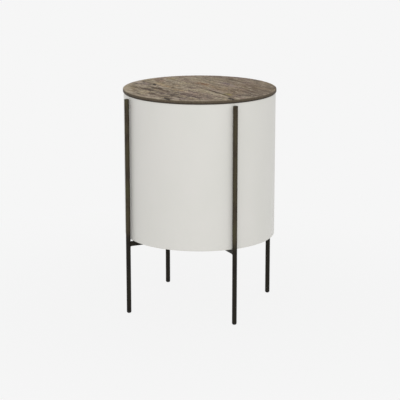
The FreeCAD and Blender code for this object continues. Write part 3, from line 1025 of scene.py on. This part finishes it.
def fastener_recipe(name, line, thread_from, thread_to, thread_radius, pitch, recess):
    """A fastener turned on its axis, threaded and recessed in its head, one at every mark at its own turn."""
    recipe = Recipe(name, zinc_plate)
    turned = recipe.ask("Turned line", line)
    sides = recipe.ask("Sides", turning_sides)
    start = recipe.ask("Thread start", thread_from)
    tall = recipe.ask("Thread length", thread_to - thread_from)
    crest = recipe.ask("Thread height", thread_height)
    core = recipe.ask("Thread radius", thread_radius)
    turns = recipe.math("DIVIDE", tall, recipe.ask("Thread pitch", pitch))
    axis = recipe.add("GeometryNodeObjectInfo", {"Object": turned}).outputs["Geometry"]
    axis = recipe.get("GeometryNodeMeshToCurve", {0: axis})
    body = recipe.swept(axis, sides, recipe.get("GeometryNodeInputNamedAttribute", {"Name": "radius"}))
    cut = recipe.add("GeometryNodeMeshBoolean", {"Mesh 1": body}, operation="DIFFERENCE", solver="EXACT")
    for slot in recess(recipe):
        recipe.feed(cut.inputs["Mesh 2"], slot)
    helix = {"Resolution": thread_steps, "Rotations": turns, "Height": tall}
    helix.update({"Start Radius": core, "End Radius": core})
    thread = recipe.swept(recipe.get("GeometryNodeCurveSpiral", helix), thread_sides, crest)
    whole = recipe.add("GeometryNodeJoinGeometry", {0: cut.outputs[0]})
    recipe.feed(whole.inputs[0], recipe.lifted(thread, start))
    driven = {"Max": (0, 0, math.tau), "Seed": driven_seed}
    turn = recipe.get("FunctionNodeRandomValue", driven, data_type="FLOAT_VECTOR")
    return recipe.close(recipe.repeated(whole.outputs[0], recipe.start.outputs[0], turn))


def wood_screws(name, length, places, node):
    """Countersunk screws of one length that point up, with the flat of the head at their marks."""
    shank = length - screw_point
    line = turned_line(name + "_line", (
        (0, screw_head_radius - screw_head_ease),
        (screw_head_ease, screw_head_radius),
        (screw_head_height, screw_core_radius),
        (shank, screw_core_radius),
        (length, screw_tip_radius),
    ))
    thread = (2 * screw_head_height, shank, screw_core_radius, screw_pitch)
    screws = made_by(fastener_recipe(name, line, *thread, cross_recess), name, marks(name + "_marks", places))
    bpy.data.objects.remove(line)
    settle(screws, "zinc_steel", node)


def top_screw_places():
    """Under the middle of each plank, on either side of it."""
    edges = (-top_screw_reach, *plank_joints, top_screw_reach)
    places = []
    for left, right in zip(edges, edges[1:]):
        x = (left + right) / 2
        y = top_screw_spread_share * math.sqrt(top_screw_reach**2 - x**2)
        places += [(x, -y, top_panel_bottom), (x, y, top_panel_bottom)]
    return places


zinc_plate = zinc_finish()
wood_screws("plank_screws", top_screw_length, top_screw_places(), "top_screws")


# Drum bottom: a round panel set into the shell and sprayed with it. It rests on the cradle, and comes out
# once its screws are undone.

dress(satin_lacquer, "drum_bottom_panel")


# Panel screws: eight wood screws of the same kind as those of the top. They go up from below through the
# bottom panel into the ring.

panel_screw_count = 8
panel_screw_circle = 0.1849
panel_screw_length = 0.032


def panel_screw_places():
    """Evenly round the panel, half a step away from the cross bars."""
    bearings = [math.tau * (index + 0.5) / panel_screw_count for index in range(panel_screw_count)]
    rounds = [(math.cos(bearing), math.sin(bearing)) for bearing in bearings]
    return [(panel_screw_circle * x, panel_screw_circle * y, shell_bottom) for x, y in rounds]


wood_screws("drum_panel_screws", panel_screw_length, panel_screw_places(), "panel_screws")


# Threaded inserts: turned brass sleeves that take the bolts. They are pressed into the bottom panel, flush
# with its underside.

def brass_finish():
    brass = Finish("turned_brass", {"Metallic": 1.0})
    rings = brass.noise(brass.place, 0.0003, (9, 9, 1), detail=2)
    dull = brass.noise(brass.place, 0.003, detail=4, start=2.0)
    colour = brass.ramp(
        dull, (0.3, tone(150, 118, 62)), (0.5, tone(188, 154, 88)), (0.7, tone(204, 172, 106))
    )
    return brass.lay(colour, brass.span(dull, 0.3, 0.7, 0.42, 0.26), rings, depth=0.00003)


dress(brass_finish(), "threaded_inserts")


# Spacers and washers: zinc plated rings on the bolts. A spacer fills the step between the lower bar and the
# panel, and a washer lies under each bolt's head.

dress(zinc_plate, "bar_spacers", "frame_washers")


# Frame bolts: zinc plated bolts with a button head and a hexagon socket, from below through the bars into the
# inserts. Those of the lower bar sit a step lower.

bolt_circle = 0.120
bolt_core_radius = 0.0020
bolt_head_radius = 0.00475
bolt_head_height = 0.0028
bolt_head_round = 0.0022
bolt_head_steps = 8
bolt_head_underside = 1e-5
bolt_length = 0.025
bolt_end = bolt_head_height + bolt_length
bolt_pitch = 0.0008
bolt_seat = 0.194
socket_sides = 6
socket_radius = 0.0017
socket_depth = 0.0016


def hexagon_socket(recipe):
    """A six-sided hole, open below, for a key."""
    depth = recipe.times(recipe.ask("Socket depth", socket_depth), 2.0)
    sizes = {"Vertices": socket_sides, "Radius": recipe.ask("Socket radius", socket_radius), "Depth": depth}
    return (recipe.get("GeometryNodeMeshCylinder", sizes),)


def bolt_stops():
    """(height, radius) from the flat of the head round its edge, under it and up the shank."""
    stops = []
    for turn in quarter_turn(bolt_head_steps):
        across = bolt_head_radius - bolt_head_round * (1 - math.sin(turn))
        stops.append((bolt_head_round * (1 - math.cos(turn)), across))
    stops.append((bolt_head_height, bolt_head_radius))
    stops.append((bolt_head_height + bolt_head_underside, bolt_core_radius))
    stops.append((bolt_end, bolt_core_radius))
    return stops


head_low = bolt_seat - bolt_head_height
bolt_places = [(0, y, head_low) for y in (bolt_circle, -bolt_circle)]
bolt_places += [(x, 0, head_low - bar_step) for x in (bolt_circle, -bolt_circle)]
bolt_thread = (2 * bolt_head_height, bolt_end - bolt_pitch, bolt_core_radius, bolt_pitch)
bolt_line = turned_line("bolt_line", bolt_stops())
bolt_recipe = fastener_recipe("frame_bolt", bolt_line, *bolt_thread, hexagon_socket)
socket_bolts = made_by(bolt_recipe, "socket_bolts", marks("bolt_marks", bolt_places))
bpy.data.objects.remove(bolt_line)
settle(socket_bolts, "zinc_steel", "frame_bolts")


# Floor and light: a pale paper floor that takes a soft shadow, even light from all round and one large soft
# lamp in front.

backdrop_white = tone(246, 246, 246)
floor_radius = 7.0
floor_sides = 96
shadow_core = 0.25
shadow_reach = 1.1
shadow_share = 0.06
sky_strength = 0.72
lamp_azimuth = -18.0
lamp_elevation = 22.0
lamp_distance = 6.4
lamp_aim_height = 0.35
lamp_width = 3.2
lamp_power = 97.0


def backdrop_seen(bench):
    """1 where the backdrop is seen, straight on, in gloss or through glass, and 0 where it only lights."""
    ray = bench.add("ShaderNodeLightPath").outputs
    mirrored = bench.math("MAXIMUM", ray["Is Glossy Ray"], ray["Is Transmission Ray"])
    return bench.math("MAXIMUM", ray["Is Camera Ray"], mirrored)


def floor_finish():
    """Pale matt paper, which shows the backdrop's flat white further out."""
    paper = bpy.data.materials.new("pale_floor")
    paper.use_nodes = True
    bench = Workbench(paper.node_tree)
    bench.tree.nodes.remove(bench.tree.nodes["Principled BSDF"])
    matt = bench.get("ShaderNodeBsdfDiffuse", {"Color": tone(240, 240, 239)})
    flat = bench.get("ShaderNodeEmission", {"Color": backdrop_white, "Strength": 1.0})
    place = bench.add("ShaderNodeTexCoord").outputs["Object"]
    away = bench.measure("LENGTH", place)
    near = bench.span(away, shadow_core, shadow_reach, shadow_share, 0.0, smooth=True)
    flatness = bench.times(backdrop_seen(bench), bench.minus(1.0, near))
    both = bench.get("ShaderNodeMixShader", {0: flatness, 1: matt, 2: flat})
    bench.feed(bench.tree.nodes["Material Output"].inputs["Surface"], both)
    return paper


def sky():
    """Even light all round, seen as the flat white backdrop."""
    world = bpy.data.worlds.new("studio")
    world.use_nodes = True
    bench = Workbench(world.node_tree)
    background = bench.tree.nodes["Background"]
    bench.feed(background.inputs["Color"], backdrop_white)
    bench.feed(background.inputs["Strength"], bench.span(backdrop_seen(bench), 0.0, 1.0, sky_strength, 1.0))
    return world


def stand(thing, azimuth, elevation, distance, height):
    """Aims a lamp or camera at the table's axis, from azimuth degrees right of the front."""
    turn, rise = math.radians(azimuth), math.radians(elevation)
    flat = distance * math.cos(rise)
    thing.location = (flat * math.sin(turn), -flat * math.cos(turn), height + distance * math.sin(rise))
    thing.rotation_euler = (math.radians(90 - elevation), 0, turn)


floor_mesh = bpy.data.meshes.new("floor")
shape = bmesh.new()
bmesh.ops.create_circle(shape, cap_ends=True, segments=floor_sides, radius=floor_radius)
shape.to_mesh(floor_mesh)
shape.free()
floor_mesh.materials.append(floor_finish())
floor = put_in_scene("floor", floor_mesh)

bpy.context.scene.world = sky()

lamp = bpy.data.lights.new("front_lamp", "AREA")
lamp.shape = "DISK"
lamp.size = lamp_width
lamp.energy = lamp_power
front_lamp = put_in_scene("front_lamp", lamp)
stand(front_lamp, lamp_azimuth, lamp_elevation, lamp_distance, lamp_aim_height)


# Camera: at the photograph's viewing angle, a little above the top, with a long lens. A slight shift puts the
# table where it stands in the photograph's frame.

camera_azimuth = -25.6
camera_elevation = 13.97
camera_distance = 4.110
camera_aim_height = 0.2959
camera_lens = 134.0
camera_sensor = 36.0
camera_shift = 0.0008

lens = bpy.data.cameras.new("camera")
lens.lens = camera_lens
lens.sensor_width = camera_sensor
lens.shift_x = camera_shift
camera = put_in_scene("camera", lens)
stand(camera, camera_azimuth, camera_elevation, camera_distance, camera_aim_height)
bpy.context.scene.camera = camera
bpy.context.scene.view_settings.view_transform = "Standard"
